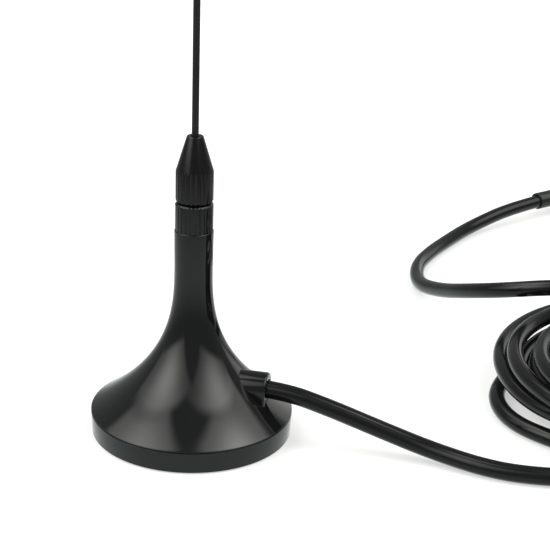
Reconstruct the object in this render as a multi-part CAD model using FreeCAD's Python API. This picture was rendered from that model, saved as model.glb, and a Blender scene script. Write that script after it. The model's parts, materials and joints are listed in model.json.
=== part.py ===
"""Magnet-mount whip antenna: a flared moulded base on a magnet, a screw-on whip and a coiled coaxial lead.

Sizes are in millimetres. The origin is the centre of the pad's underside and +Z runs up the whip. The lead
leaves the base through a moulded tunnel towards +X, lies in a loose coil and ends in a threaded coaxial jack.
"""
import FreeCAD
import Part
import math
import os

Vector = FreeCAD.Vector

# Height of the whip's tip
ANTENNA_H = 118.0

# Base moulding
BASE_D = 30.0
RIM_H = 3.35
RIM_DRAFT = 0.1
RIM_ROUND = 0.3
FOOT_EDGE = 0.12
RIM_WALL = 2.1
FLARE_H = 22.45
FLARE_POWER = 2.75
FLARE_SPANS = 3
FLARE_WALL = 2.8
NECK_D = 5.6
NECK_H = 5.6
NECK_FLARE = 0.05
NECK_EDGE = 0.12
NECK_BORE_D = 3.1

# Pad, magnet and pole cup
PAD_T = 0.8
PAD_PROUD = 0.2
PAD_LAND = 0.7
CUP_H = 2.9
CUP_T = 0.6
CUP_BEND = 0.4
MAGNET_EDGE = 0.3
SLIP_GAP = 0.1

# Cable tunnel on the flare
LUG_ANGLE = -12.2
LUG_REACH = 11.6
LUG_Z = 8.0
LUG_W = 4.7
LUG_EDGE = 0.2
LUG_LAND = 3.0
LEAD_STRAIGHT = 2.0

# Coaxial cable
CABLE_D = 2.65
BRAID_D = 2.1
DIELECTRIC_D = 1.5
CONDUCTOR_D = 0.48
CABLE_GAP = 0.08
BEND_SHARE = 0.45
RING_D = 3.5
RING_LEN = 2.0
JACKET_TAIL = 0.6
BRAID_BARE = 1.2
DIELECTRIC_BARE = 3.0
PIGTAIL_D = 0.8
SHIELD_SOLDER_D = 2.2
SHIELD_SOLDER_H = 0.9

# Feed wire, insert and collar
FEED_D = 1.0
FEED_TAIL = 0.3
FEED_SOLDER_D = 1.8
SHANK_LEN = 7.6
SOLDER_CUP_DEPTH = 2.0
COLLAR_D = 5.5
COLLAR_H = 4.1
COLLAR_EDGE = 0.2
KNURL_COUNT = 24
KNURL_DEPTH = 0.17
KNURL_SHARE = 0.55
KNURL_CLEAR = 2.0
PRESS_GAP = 0.02

# Whip ferrule and whip
STUD_D = 2.5
STUD_LEN = 3.5
STUD_TIP_GAP = 0.3
FERRULE_D = 5.44
FERRULE_FOOT_D = 4.7
FERRULE_FOOT_H = 0.5
FERRULE_GRIP_H = 4.25
FERRULE_CONE_H = 5.1
FERRULE_TIP_D = 2.34
FERRULE_TIP_EDGE = 0.12
FERRULE_CUP_D = 1.6
FERRULE_CUP_DEPTH = 0.5
WHIP_D = 0.9
WHIP_SEAT = 7.0

# Coil of the lead
COIL_X = 77.0
COIL_Y = 13.0
COIL_OUTER_D = 60.4
COIL_INNER_D = 38.6
COIL_H = 10.9
COIL_SIDE_H = 6.0
COIL_CROWN_OUTER_D = 51.0
COIL_CROWN_INNER_D = 44.2
LEAD_STUB = 12.0
TAIL_STUB = 5.0

# Jack on the lead's far end
JACK_X = 73.2
JACK_Y = 109.0
JACK_HEADING = 37.0
JACK_RUN = 14.4
SLEEVE_ON_CABLE = 7.9
SLEEVE_T = 0.4
SLEEVE_STEP = 1.2
SLEEVE_SHORT = 0.6
CRIMP_D = 3.9
CRIMP_T = 0.5
CRIMP_LEN = 6.5
STEM_D = 2.0
SHOULDER_D = 5.2
SHOULDER_LEN = 1.5
HEX_AF = 6.2
HEX_LEN = 2.0
HEX_SIDES = 6
RELIEF_D = 5.4
RELIEF_LEN = 1.0
THREAD_D = 6.35
THREAD_LEN = 8.0
THREAD_EDGE = 0.35
SOCKET_D = 4.6
SOCKET_DEPTH = 1.9
INSULATOR_D = 4.1
INSULATOR_LEN = 7.9
CONTACT_D = 1.27
CONTACT_HOLE_D = 0.94
CONTACT_HOLE_DEPTH = 2.6
CONTACT_CUP_DEPTH = 2.0
FLOOR_GAP = 0.005

# Heights and radii that follow from the sizes above
BASE_R = BASE_D / 2
NECK_R = NECK_D / 2
CABLE_R = CABLE_D / 2
FOOT_Z = PAD_PROUD
CREASE_Z = FOOT_Z + RIM_H
FLARE_TOP_Z = CREASE_Z + FLARE_H
NECK_TOP_Z = FLARE_TOP_Z + NECK_H
NECK_TOP_R = NECK_R + NECK_FLARE
CUP_TOP_Z = PAD_T + CUP_H
CUP_R = BASE_R - RIM_WALL - SLIP_GAP
COLLAR_TOP_Z = NECK_TOP_Z + COLLAR_H
SHANK_R = NECK_BORE_D / 2 - PRESS_GAP
SHANK_Z = NECK_TOP_Z - SHANK_LEN
GRIP_Z = COLLAR_TOP_Z + FERRULE_FOOT_H
CONE_Z = GRIP_Z + FERRULE_GRIP_H
FERRULE_TOP_Z = CONE_Z + FERRULE_CONE_H
WHIP_Z = FERRULE_TOP_Z - WHIP_SEAT
RING_SEAT_X = LUG_REACH - LUG_LAND
JACKET_X = RING_SEAT_X - RING_LEN - JACKET_TAIL
DIELECTRIC_X = JACKET_X - DIELECTRIC_BARE
PIGTAIL_X = JACKET_X - BRAID_BARE + PIGTAIL_D / 2
CABLE_FLOOR_Z = CABLE_R + FLOOR_GAP
JACK_Z = THREAD_D / 2 + FLOOR_GAP
HEX_X = CRIMP_LEN + SHOULDER_LEN
RELIEF_X = HEX_X + HEX_LEN
THREAD_X = RELIEF_X + RELIEF_LEN
JACK_FACE_X = THREAD_X + THREAD_LEN
INSULATOR_FACE_X = JACK_FACE_X - SOCKET_DEPTH
INSULATOR_X = INSULATOR_FACE_X - INSULATOR_LEN

# Directions of the tunnel and of the jack, seen from above
LUG_WAY = Vector(math.cos(math.radians(LUG_ANGLE)), math.sin(math.radians(LUG_ANGLE)), 0)
JACK_WAY = Vector(math.cos(math.radians(JACK_HEADING)), math.sin(math.radians(JACK_HEADING)), 0)
JACK_ORIGIN = Vector(JACK_X, JACK_Y, JACK_Z)

# The lead from its stripped end in the base to the coil, and from the coil to the jack
LEAD_ROUTE = [
    LUG_WAY * JACKET_X + Vector(0, 0, LUG_Z),
    LUG_WAY * (LUG_REACH + LEAD_STRAIGHT) + Vector(0, 0, LUG_Z),
    Vector(20.6, -4.8, 6.2),
    Vector(28.0, -6.6, 3.9),
    Vector(35.5, -8.9, 1.9),
    Vector(43.6, -13.1, CABLE_FLOOR_Z),
    Vector(51.0, -14.7, CABLE_FLOOR_Z),
    Vector(56.4, -14.3, CABLE_FLOOR_Z),
    Vector(60.6, -14.1, CABLE_FLOOR_Z),
]
TAIL_ROUTE = [
    Vector(83.0, 34.4, 12.3),
    Vector(74.5, 31.6, 12.9),
    Vector(66.1, 28.1, 13.6),
    Vector(57.6, 27.6, 13.7),
    Vector(50.2, 30.9, 11.6),
    Vector(45.2, 38.3, 8.3),
    Vector(41.5, 48.1, 4.3),
    Vector(38.3, 58.0, 1.5),
    Vector(38.7, 67.6, CABLE_FLOOR_Z),
    Vector(41.9, 75.4, CABLE_FLOOR_Z),
    Vector(46.2, 82.9, CABLE_FLOOR_Z),
    Vector(51.2, 90.5, 1.6),
    JACK_ORIGIN - JACK_WAY * JACK_RUN,
    JACK_ORIGIN,
]


def turned(points):
    """Solid of revolution about Z of a closed outline of (radius, height) points."""
    corners = [Vector(radius, 0, height) for radius, height in points]
    return turned_edges(Part.makePolygon(corners + corners[:1]).Edges)


def turned_edges(edges):
    """Solid of revolution about Z of a closed outline of edges in the XZ plane."""
    face = Part.Face(Part.Wire(Part.__sortEdges__(edges)))
    return face.revolve(Vector(0, 0, 0), Vector(0, 0, 1), 360)


def turned_along_x(points):
    """Solid of revolution about X of a closed outline of (place along X, radius) points."""
    shape = turned([(radius, place) for place, radius in points])
    shape.rotate(Vector(0, 0, 0), Vector(0, 1, 0), 90)
    return shape


def rod(diameter, start_x, end_x, height=0.0):
    """Level cylinder along X at the given height."""
    return Part.makeCylinder(diameter / 2, end_x - start_x, Vector(start_x, 0, height), Vector(1, 0, 0))


def tube(outer, inner, start_x, end_x, height=0.0):
    """Level sleeve along X at the given height."""
    return rod(outer, start_x, end_x, height).cut(rod(inner, start_x, end_x, height))


def upright(diameter, low, high):
    """Cylinder on the whip's axis."""
    return Part.makeCylinder(diameter / 2, high - low, Vector(0, 0, low))


def at_lug(shape):
    """Turns a shape made along X to the tunnel's direction."""
    shape.rotate(Vector(0, 0, 0), Vector(0, 0, 1), LUG_ANGLE)
    return shape


def at_jack(shape):
    """Puts a shape made along X, from the end of the jacket, on the far end of the lead."""
    shape.rotate(Vector(0, 0, 0), Vector(0, 0, 1), JACK_HEADING)
    shape.translate(JACK_ORIGIN)
    return shape


def flare_radius(height):
    """Outer radius of the flare: a power curve from the rim's crease up to the neck."""
    share = max((FLARE_TOP_Z - height) / FLARE_H, 0.0)
    return NECK_R + (BASE_R - NECK_R) * share ** FLARE_POWER


def flare_height(radius):
    """Height at which the flare has the given outer radius."""
    share = (radius - NECK_R) / (BASE_R - NECK_R)
    return FLARE_TOP_Z - FLARE_H * share ** (1 / FLARE_POWER)


def flare_way(height):
    """Direction up the flare's section at a height."""
    share = max((FLARE_TOP_Z - height) / FLARE_H, 0.0)
    lean = (BASE_R - NECK_R) / FLARE_H * FLARE_POWER * share ** (FLARE_POWER - 1)
    return Vector(-lean, 0, 1).normalize()


def tangent_arc(start, corner, end):
    """Arc from a start to an end that are equally far from a corner, touching both ways to it."""
    middle = (start + end) * 0.5
    half = (end - start).Length / 2
    rise = (corner - middle).Length
    bow = half * math.tan(math.atan2(rise, half) / 2)
    return Part.Arc(start, middle + (corner - middle) * (bow / rise), end).toShape()


def arc_pair(start, way_in, end, way_out):
    """Two arcs that touch each other and keep the given directions at their outer ends."""
    chord = end - start
    along = chord.dot(way_in + way_out)
    spread = 2 * (1 - way_in.dot(way_out))
    reach = (math.sqrt(along ** 2 + spread * chord.dot(chord)) - along) / spread
    first = start + way_in * reach
    second = end - way_out * reach
    joint = (first + second) * 0.5
    return [tangent_arc(start, first, joint), tangent_arc(joint, second, end)]


def flare_edges(low, high, inset=0.0):
    """Tangent arcs along the flare's section between two heights, drawn inwards by a level distance."""
    step = (high - low) / FLARE_SPANS
    heights = [low + step * index for index in range(FLARE_SPANS + 1)]
    edges = []
    for below, above in zip(heights, heights[1:]):
        start = Vector(flare_radius(below) - inset, 0, below)
        end = Vector(flare_radius(above) - inset, 0, above)
        edges += arc_pair(start, flare_way(below), end, flare_way(above))
    return edges


def line(start, end):
    """Straight edge of a section between two (radius, height) points."""
    return Part.makeLine(Vector(start[0], 0, start[1]), Vector(end[0], 0, end[1]))


def housing_outside():
    """Rim, flare and neck as one turned solid, with a rounded crease."""
    wall_r = BASE_R - RIM_DRAFT
    corner = Vector(BASE_R, 0, CREASE_Z)
    below = Vector(BASE_R - RIM_DRAFT * RIM_ROUND / RIM_H, 0, CREASE_Z - RIM_ROUND)
    above_z = CREASE_Z + RIM_ROUND / 2
    above = Vector(flare_radius(above_z), 0, above_z)
    middle = (below + corner * 2 + above) * 0.25
    edges = [
        line((0, FOOT_Z), (wall_r - FOOT_EDGE, FOOT_Z)),
        line((wall_r - FOOT_EDGE, FOOT_Z), (wall_r, FOOT_Z + FOOT_EDGE)),
        line((wall_r, FOOT_Z + FOOT_EDGE), (below.x, below.z)),
        Part.Arc(below, middle, above).toShape(),
        *flare_edges(above_z, FLARE_TOP_Z),
        line((NECK_R, FLARE_TOP_Z), (NECK_TOP_R, NECK_TOP_Z - NECK_EDGE)),
        line((NECK_TOP_R, NECK_TOP_Z - NECK_EDGE), (NECK_TOP_R - NECK_EDGE, NECK_TOP_Z)),
        line((NECK_TOP_R - NECK_EDGE, NECK_TOP_Z), (0, NECK_TOP_Z)),
        line((0, NECK_TOP_Z), (0, FOOT_Z)),
    ]
    return turned_edges(edges)


def housing_hollow():
    """Space under the flare, which follows its curve and runs out in the neck's bore."""
    bore_r = NECK_BORE_D / 2
    top_z = flare_height(bore_r + FLARE_WALL)
    foot_r = flare_radius(CUP_TOP_Z) - FLARE_WALL
    edges = [
        line((0, CUP_TOP_Z), (foot_r, CUP_TOP_Z)),
        *flare_edges(CUP_TOP_Z, top_z, FLARE_WALL),
        line((bore_r, top_z), (bore_r, NECK_TOP_Z)),
        line((bore_r, NECK_TOP_Z), (0, NECK_TOP_Z)),
        line((0, NECK_TOP_Z), (0, CUP_TOP_Z)),
    ]
    return turned_edges(edges)


def cable_lug():
    """Tunnel on the flare: a half-round roof on flat sides, with softened edges at its mouth."""
    half = LUG_W / 2
    left_foot = Vector(0, half, CREASE_Z)
    left_top = Vector(0, half, LUG_Z)
    right_top = Vector(0, -half, LUG_Z)
    right_foot = Vector(0, -half, CREASE_Z)
    section = Part.Wire([
        Part.makeLine(left_foot, left_top),
        Part.Arc(left_top, Vector(0, 0, LUG_Z + half), right_top).toShape(),
        Part.makeLine(right_top, right_foot),
        Part.makeLine(right_foot, left_foot),
    ])
    body = Part.Face(section).extrude(Vector(LUG_REACH, 0, 0))
    mouth = [
        edge for edge in body.Edges
        if edge.BoundBox.XMin > LUG_REACH / 2 and edge.BoundBox.ZMax > (LUG_Z + CREASE_Z) / 2
    ]
    return at_lug(body.makeFillet(LUG_EDGE, mouth))


def base_housing():
    """Trumpet-shaped moulding with the cable tunnel, hollow below and bored through its neck."""
    shape = housing_outside().fuse(cable_lug())
    pad_recess = upright(2 * (BASE_R - PAD_LAND), FOOT_Z, PAD_T)
    cup_recess = upright(2 * (CUP_R + SLIP_GAP), FOOT_Z, CUP_TOP_Z)
    lead_bore = at_lug(rod(CABLE_D + 2 * CABLE_GAP, 0, LUG_REACH, LUG_Z))
    ring_seat = at_lug(rod(RING_D + 2 * CABLE_GAP, 0, RING_SEAT_X, LUG_Z))
    return shape.cut([housing_hollow(), pad_recess, cup_recess, lead_bore, ring_seat]).removeSplitter()


def bottom_pad():
    """Rubber disc let into the rim, standing a little proud of it."""
    return upright(2 * (BASE_R - PAD_LAND - SLIP_GAP), 0, PAD_T)


def pole_cup():
    """Pressed steel cup over the magnet, open downwards."""
    inner_r = CUP_R - CUP_T
    outline = [
        (0, CUP_TOP_Z),
        (CUP_R - CUP_BEND, CUP_TOP_Z),
        (CUP_R, CUP_TOP_Z - CUP_BEND),
        (CUP_R, PAD_T),
        (inner_r, PAD_T),
        (inner_r, CUP_TOP_Z - CUP_T),
        (0, CUP_TOP_Z - CUP_T),
    ]
    return turned(outline)


def base_magnet():
    """Disc magnet that fills the pole cup, with broken edges."""
    radius = CUP_R - CUP_T - SLIP_GAP
    disc = upright(2 * radius, PAD_T, CUP_TOP_Z - CUP_T)
    rims = [edge for edge in disc.Edges if isinstance(edge.Curve, Part.Circle)]
    return disc.makeChamfer(MAGNET_EDGE, rims)


def knurl_grooves(diameter, low, high):
    """Straight V-grooves round a grip, as a list of prisms to cut."""
    radius = diameter / 2
    half_width = math.pi * radius / KNURL_COUNT * KNURL_SHARE
    clear = KNURL_CLEAR * KNURL_DEPTH
    slope = half_width / KNURL_DEPTH
    section = Part.makePolygon([
        Vector(radius - KNURL_DEPTH, 0, low),
        Vector(radius + clear, -half_width - slope * clear, low),
        Vector(radius + clear, half_width + slope * clear, low),
        Vector(radius - KNURL_DEPTH, 0, low),
    ])
    groove = Part.Face(section).extrude(Vector(0, 0, high - low))
    grooves = []
    for index in range(KNURL_COUNT):
        copy = groove.copy()
        copy.rotate(Vector(0, 0, 0), Vector(0, 0, 1), 360 * index / KNURL_COUNT)
        grooves.append(copy)
    return grooves


def threaded_insert():
    """Turned insert: a shank in the neck's bore under a knurled collar that takes the whip's stud."""
    collar_r = COLLAR_D / 2
    outline = [
        (0, SHANK_Z),
        (SHANK_R, SHANK_Z),
        (SHANK_R, NECK_TOP_Z),
        (collar_r, NECK_TOP_Z),
        (collar_r, COLLAR_TOP_Z - COLLAR_EDGE),
        (collar_r - COLLAR_EDGE, COLLAR_TOP_Z),
        (0, COLLAR_TOP_Z),
    ]
    stud_hole = upright(STUD_D + 2 * PRESS_GAP, COLLAR_TOP_Z - STUD_LEN - STUD_TIP_GAP, COLLAR_TOP_Z)
    solder_cup = upright(FEED_D + 2 * PRESS_GAP, SHANK_Z, SHANK_Z + SOLDER_CUP_DEPTH)
    grooves = knurl_grooves(COLLAR_D, NECK_TOP_Z, COLLAR_TOP_Z)
    return turned(outline).cut([stud_hole, solder_cup] + grooves)


def whip_ferrule():
    """Knurled cone nut with a stud below, drilled from its tip for the whip."""
    grip_r = FERRULE_D / 2
    tip_r = FERRULE_TIP_D / 2
    outline = [
        (0, COLLAR_TOP_Z - STUD_LEN),
        (STUD_D / 2, COLLAR_TOP_Z - STUD_LEN),
        (STUD_D / 2, COLLAR_TOP_Z),
        (FERRULE_FOOT_D / 2, COLLAR_TOP_Z),
        (grip_r, GRIP_Z),
        (grip_r, CONE_Z),
        (tip_r, FERRULE_TOP_Z - FERRULE_TIP_EDGE),
        (tip_r - FERRULE_TIP_EDGE, FERRULE_TOP_Z),
        (FERRULE_CUP_D / 2, FERRULE_TOP_Z),
        (WHIP_D / 2 + PRESS_GAP, FERRULE_TOP_Z - FERRULE_CUP_DEPTH),
        (WHIP_D / 2 + PRESS_GAP, WHIP_Z),
        (0, WHIP_Z),
    ]
    return turned(outline).cut(knurl_grooves(FERRULE_D, COLLAR_TOP_Z, FERRULE_TOP_Z))


def whip_rod():
    """Plain wire whip with a domed tip."""
    radius = WHIP_D / 2
    stem = upright(WHIP_D, WHIP_Z, ANTENNA_H - radius)
    return stem.fuse(Part.makeSphere(radius, Vector(0, 0, ANTENNA_H - radius))).removeSplitter()


def feed_wire():
    """Wire from the insert's solder cup down to the level of the lead's core."""
    return upright(FEED_D, LUG_Z - FEED_SOLDER_D / 2 - FEED_TAIL, SHANK_Z + SOLDER_CUP_DEPTH)


def core_conductor():
    """Bare core of the lead, which ends against the feed wire."""
    core = at_lug(rod(CONDUCTOR_D, 0, DIELECTRIC_X, LUG_Z))
    return core.cut(feed_wire())


def core_dielectric():
    """Bare dielectric of the lead inside the base."""
    return at_lug(rod(DIELECTRIC_D, DIELECTRIC_X, JACKET_X, LUG_Z))


def shield_braid():
    """Bared shield, gathered into a pigtail that runs down to the pole cup."""
    sleeve = rod(BRAID_D, JACKET_X - BRAID_BARE, JACKET_X, LUG_Z)
    pigtail = Part.makeCylinder(PIGTAIL_D / 2, LUG_Z - CUP_TOP_Z, Vector(PIGTAIL_X, 0, CUP_TOP_Z))
    core = rod(DIELECTRIC_D, JACKET_X - BRAID_BARE, JACKET_X, LUG_Z)
    return at_lug(sleeve.fuse(pigtail).cut(core).removeSplitter())


def feed_solder():
    """Bead of solder round the joint of core and feed wire."""
    bead = Part.makeSphere(FEED_SOLDER_D / 2, Vector(0, 0, LUG_Z))
    return bead.cut([feed_wire(), core_conductor()])


def shield_solder():
    """Cone of solder round the pigtail's foot on the pole cup."""
    foot = Vector(PIGTAIL_X, 0, CUP_TOP_Z)
    cone = Part.makeCone(SHIELD_SOLDER_D / 2, PIGTAIL_D / 2, SHIELD_SOLDER_H, foot)
    return at_lug(cone.cut(Part.makeCylinder(PIGTAIL_D / 2, SHIELD_SOLDER_H, foot)))


def cable_crimp_ring():
    """Ring crimped on the jacket, seated in the tunnel against a pull on the lead."""
    return at_lug(tube(RING_D, CABLE_D, RING_SEAT_X - RING_LEN, RING_SEAT_X, LUG_Z))


def route_wire(route):
    """Path of straight runs and tangent arcs through a route, and the radii of its arcs."""
    edges = []
    radii = []
    start = route[0]
    for before, corner, after in zip(route, route[1:], route[2:]):
        way_in = (corner - before).normalize()
        way_out = (after - corner).normalize()
        turn = way_in.getAngle(way_out)
        cut = BEND_SHARE * min((corner - before).Length, (after - corner).Length)
        radius = cut / math.tan(turn / 2)
        arc_start = corner - way_in * cut
        arc_end = corner + way_out * cut
        edges.append(Part.LineSegment(start, arc_start).toShape())
        edges.append(tangent_arc(arc_start, corner, arc_end))
        radii.append(radius)
        start = arc_end
    edges.append(Part.LineSegment(start, route[-1]).toShape())
    return Part.Wire(edges), radii


def cable_tube(name, route):
    """Plain round tube of the cable along a route, with its radii and volume reported."""
    path, radii = route_wire(route)
    section = Part.Wire(Part.makeCircle(CABLE_R, route[0], route[1] - route[0]))
    shape = path.makePipeShell([section], True, False)
    share = shape.Volume / (math.pi * CABLE_R ** 2 * path.Length)
    print(name, "length", round(path.Length, 1), "volume share", round(share, 4))
    print(name, "bend radii", [round(radius, 1) for radius in radii])
    return shape


def stub(start, along, length):
    """Short straight end of the cable that leaves the coil."""
    return Part.makeCylinder(CABLE_R, length, start, along)


def cable_coil():
    """Outer shape of the loose coil, with the two ends of the cable that leave it."""
    ring = turned([
        (COIL_INNER_D / 2, 0),
        (COIL_OUTER_D / 2, 0),
        (COIL_OUTER_D / 2, COIL_SIDE_H),
        (COIL_CROWN_OUTER_D / 2, COIL_H),
        (COIL_CROWN_INNER_D / 2, COIL_H),
        (COIL_INNER_D / 2, COIL_SIDE_H),
    ])
    ring.translate(Vector(COIL_X, COIL_Y, 0))
    lead_end = stub(LEAD_ROUTE[-1], LEAD_ROUTE[-1] - LEAD_ROUTE[-2], LEAD_STUB)
    tail_end = stub(TAIL_ROUTE[0], TAIL_ROUTE[0] - TAIL_ROUTE[1], TAIL_STUB)
    return ring.fuse([lead_end, tail_end]).removeSplitter()


def heat_shrink_sleeve():
    """Sleeve shrunk over the end of the jacket and over the crimp."""
    end_x = CRIMP_LEN - SLEEVE_SHORT
    crimp_r = CRIMP_D / 2
    return at_jack(turned_along_x([
        (-SLEEVE_ON_CABLE, CABLE_R),
        (0, CABLE_R),
        (0, crimp_r),
        (end_x, crimp_r),
        (end_x, crimp_r + SLEEVE_T),
        (0, crimp_r + SLEEVE_T),
        (-SLEEVE_STEP, CABLE_R + SLEEVE_T),
        (-SLEEVE_ON_CABLE, CABLE_R + SLEEVE_T),
    ]))


def crimp_ferrule():
    """Ferrule crimped over the braid on the jack's stem."""
    return at_jack(tube(CRIMP_D, CRIMP_D - 2 * CRIMP_T, 0, CRIMP_LEN))


def tail_braid():
    """Shield of the lead between the jack's stem and the crimp."""
    return at_jack(tube(CRIMP_D - 2 * CRIMP_T, STEM_D, 0, CRIMP_LEN))


def hex_prism(across_flats, start_x, end_x):
    """Hexagonal collar along X, with one flat downwards."""
    half_side = math.pi / HEX_SIDES
    corner_r = across_flats / 2 / math.cos(half_side)
    angles = [2 * half_side * index for index in range(HEX_SIDES + 1)]
    corners = [Vector(start_x, corner_r * math.cos(a), corner_r * math.sin(a)) for a in angles]
    return Part.Face(Part.makePolygon(corners)).extrude(Vector(end_x - start_x, 0, 0))


def connector_body():
    """Body of the jack: crimp stem, shoulder, hexagon, relief and threaded barrel, bored through."""
    thread_r = THREAD_D / 2
    turned_part = turned_along_x([
        (0, 0),
        (0, STEM_D / 2),
        (CRIMP_LEN, STEM_D / 2),
        (CRIMP_LEN, SHOULDER_D / 2),
        (HEX_X, SHOULDER_D / 2),
        (RELIEF_X, RELIEF_D / 2),
        (THREAD_X, RELIEF_D / 2),
        (THREAD_X, thread_r),
        (JACK_FACE_X - THREAD_EDGE, thread_r),
        (JACK_FACE_X, thread_r - THREAD_EDGE),
        (JACK_FACE_X, 0),
    ])
    solid = turned_part.fuse(hex_prism(HEX_AF, HEX_X, RELIEF_X))
    core_bore = rod(DIELECTRIC_D + 2 * PRESS_GAP, 0, INSULATOR_X)
    insulator_bore = rod(INSULATOR_D + 2 * PRESS_GAP, INSULATOR_X, INSULATOR_FACE_X)
    socket = rod(SOCKET_D, INSULATOR_FACE_X, JACK_FACE_X)
    return at_jack(solid.cut([core_bore, insulator_bore, socket]).removeSplitter())


def connector_insulator():
    """Insulating bush that carries the contact in the barrel."""
    return at_jack(tube(INSULATOR_D, CONTACT_D + 2 * PRESS_GAP, INSULATOR_X, INSULATOR_FACE_X))


def connector_contact():
    """Socket contact with a solder cup at its back."""
    pin = rod(CONTACT_D, INSULATOR_X, INSULATOR_FACE_X)
    socket = rod(CONTACT_HOLE_D, INSULATOR_FACE_X - CONTACT_HOLE_DEPTH, INSULATOR_FACE_X)
    cup = rod(CONDUCTOR_D + 2 * PRESS_GAP, INSULATOR_X, INSULATOR_X + CONTACT_CUP_DEPTH)
    return at_jack(pin.cut([socket, cup]))


def tail_dielectric():
    """Dielectric of the lead inside the jack's stem."""
    return at_jack(rod(DIELECTRIC_D, 0, INSULATOR_X))


def tail_conductor():
    """Core of the lead in the contact's solder cup."""
    return at_jack(rod(CONDUCTOR_D, INSULATOR_X, INSULATOR_X + CONTACT_CUP_DEPTH))


PIECES = {
    "base_housing": base_housing,
    "bottom_pad": bottom_pad,
    "base_magnet": base_magnet,
    "pole_cup": pole_cup,
    "threaded_insert": threaded_insert,
    "whip_ferrule": whip_ferrule,
    "whip_rod": whip_rod,
    "feed_wire": feed_wire,
    "feed_solder": feed_solder,
    "core_conductor": core_conductor,
    "core_dielectric": core_dielectric,
    "shield_braid": shield_braid,
    "shield_solder": shield_solder,
    "cable_crimp_ring": cable_crimp_ring,
    "cable_lead": lambda: cable_tube("cable_lead", LEAD_ROUTE),
    "cable_coil": cable_coil,
    "cable_tail": lambda: cable_tube("cable_tail", TAIL_ROUTE),
    "heat_shrink_sleeve": heat_shrink_sleeve,
    "crimp_ferrule": crimp_ferrule,
    "tail_braid": tail_braid,
    "tail_dielectric": tail_dielectric,
    "tail_conductor": tail_conductor,
    "connector_body": connector_body,
    "connector_insulator": connector_insulator,
    "connector_contact": connector_contact,
}


def main():
    """Builds every piece and writes one file for each."""
    os.makedirs("parts", exist_ok=True)
    for name, build in PIECES.items():
        shape = build()
        shape.exportStep(os.path.join("parts", name + ".step"))
        print(name, "solids", len(shape.Solids), "valid", shape.isValid(), "volume", round(shape.Volume, 2))


main()
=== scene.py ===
"""Looks of a magnet-mount whip antenna: glossy flared base, knurled cone nut, whip and a coiled coaxial lead.

Sizes in the classes are millimetres, and MM turns them into the metres of the frame.
"""

import json
import logging
import math
from dataclasses import dataclass, field
from enum import Enum
from typing import Callable, Optional, Union

import bmesh
import bpy
from mathutils import Matrix, Vector


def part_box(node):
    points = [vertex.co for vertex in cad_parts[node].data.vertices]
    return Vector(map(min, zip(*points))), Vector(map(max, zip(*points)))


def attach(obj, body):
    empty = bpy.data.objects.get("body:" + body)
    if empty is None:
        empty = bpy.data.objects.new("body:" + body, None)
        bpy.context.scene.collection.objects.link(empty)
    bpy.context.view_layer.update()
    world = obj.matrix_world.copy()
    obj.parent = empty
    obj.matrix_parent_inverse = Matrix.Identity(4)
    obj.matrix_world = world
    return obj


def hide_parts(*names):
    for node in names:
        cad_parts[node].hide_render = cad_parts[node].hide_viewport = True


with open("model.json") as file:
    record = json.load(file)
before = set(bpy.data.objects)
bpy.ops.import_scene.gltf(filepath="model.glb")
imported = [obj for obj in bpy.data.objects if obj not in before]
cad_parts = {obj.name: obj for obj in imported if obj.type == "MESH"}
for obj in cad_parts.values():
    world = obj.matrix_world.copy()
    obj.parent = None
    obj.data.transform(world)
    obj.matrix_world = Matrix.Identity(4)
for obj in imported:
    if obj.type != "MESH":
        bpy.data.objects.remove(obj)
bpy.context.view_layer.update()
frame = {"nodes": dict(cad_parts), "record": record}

MM = 0.001
RIGHT_ANGLE = 90.0
HALF_TURN = 180.0
BODY = "root"
LOG = logging.getLogger("whip_antenna")

# Edges with a sharper bend than this stay edges in a smooth surface.
SHARP_ANGLE = math.radians(32)
# Share of a straight stretch that the rounding at one of its ends may take up.
CORNER_SHARE = 0.45
# Values that the product of two noise patterns mostly lies between.
WEAR_SPAN = (0.1, 0.45)
# Heading of the jack's axis over the floor, in degrees.
JACK_HEADING = 37.0

Rgb = tuple[float, float, float]
Point = tuple[float, float, float]
Span = tuple[float, float]
Bearing = tuple[float, float]
Outline = list[tuple[float, float]]
Tree = bpy.types.NodeTree
Socket = bpy.types.NodeSocket
Operand = Union[Socket, float]


def maths(tree: Tree, operation: str, *values: Operand) -> Socket:
    """Adds a sum to a node tree.

    Args:
        tree: Tree of a shader or of geometry nodes.
        operation: Name of the sum.
        values: What goes in, each a socket or a number.

    Returns:
        The result.
    """
    node = tree.nodes.new("ShaderNodeMath")
    node.operation = operation
    for index, value in enumerate(values):
        if isinstance(value, Socket):
            tree.links.new(value, node.inputs[index])
        else:
            node.inputs[index].default_value = value
    return node.outputs["Value"]


def along(tree: Tree, coords: Socket, direction: Vector) -> Socket:
    """Adds the share of a direction that another one has.

    Args:
        tree: Node tree of a shader.
        coords: The one direction.
        direction: The other one, of length one.

    Returns:
        The share, from -1 to 1.
    """
    node = tree.nodes.new("ShaderNodeVectorMath")
    node.operation = "DOT_PRODUCT"
    node.inputs[1].default_value = direction
    tree.links.new(coords, node.inputs[0])
    return node.outputs["Value"]


def ramp(tree: Tree, value: Socket, given: Span, wanted: Span, soft: bool = True) -> Socket:
    """Adds a ramp between two values.

    Args:
        tree: Node tree of a shader.
        value: What goes in.
        given: Values of it at which the ramp starts and ends.
        wanted: Results there.
        soft: Whether the ramp eases in and out.

    Returns:
        The result.
    """
    node = tree.nodes.new("ShaderNodeMapRange")
    node.interpolation_type = "SMOOTHSTEP" if soft else "LINEAR"
    names = ("From Min", "From Max", "To Min", "To Max")
    for name, number in zip(names, (*given, *wanted)):
        node.inputs[name].default_value = number
    tree.links.new(value, node.inputs["Value"])
    return node.outputs["Result"]


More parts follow.
